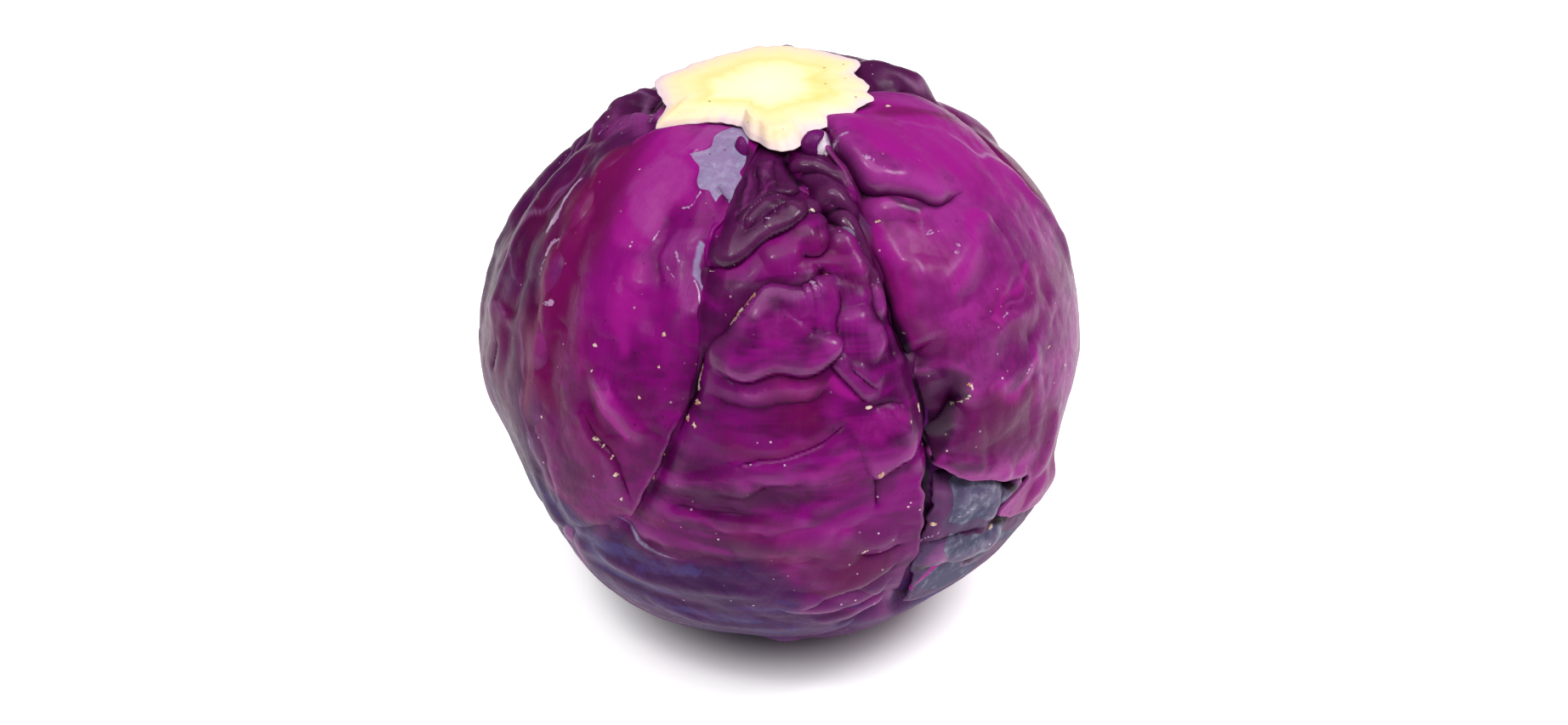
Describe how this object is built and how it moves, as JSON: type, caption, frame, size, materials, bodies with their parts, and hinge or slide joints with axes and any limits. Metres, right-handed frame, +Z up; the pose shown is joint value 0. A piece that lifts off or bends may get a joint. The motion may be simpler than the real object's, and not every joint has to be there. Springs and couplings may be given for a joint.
{
  "type": "red cabbage",
  "caption": "Round head of red cabbage with a trimmed stem on top, wrapped in crumpled overlapping leaves, resting on its crown.",
  "frame": {"origin": "middle of the flat spot under the crown that the head rests on", "axes": "+Z up along the head's axis to the cut stem, -Y to the front of the picture, +X to its right"},
  "size_m": [0.1504, 0.1531, 0.146],
  "materials": {
    "inner_leaf": "smooth",
    "outer_leaf": "satin, thinly waxed",
    "waxy_leaf": "matt blue wax bloom",
    "cut_stem": "matt moist cut"
  },
  "bodies": {
    "root": {"heart": "inner_leaf", "back_leaf": "outer_leaf", "back_left_leaf": "outer_leaf", "back_right_leaf": "outer_leaf", "crown_leaf": "waxy_leaf", "lower_right_leaf": "waxy_leaf", "far_left_leaf": "outer_leaf", "front_leaf": "outer_leaf", "left_leaf": "outer_leaf", "right_leaf": "outer_leaf", "stem": "cut_stem"}
  },
  "joints": []
}
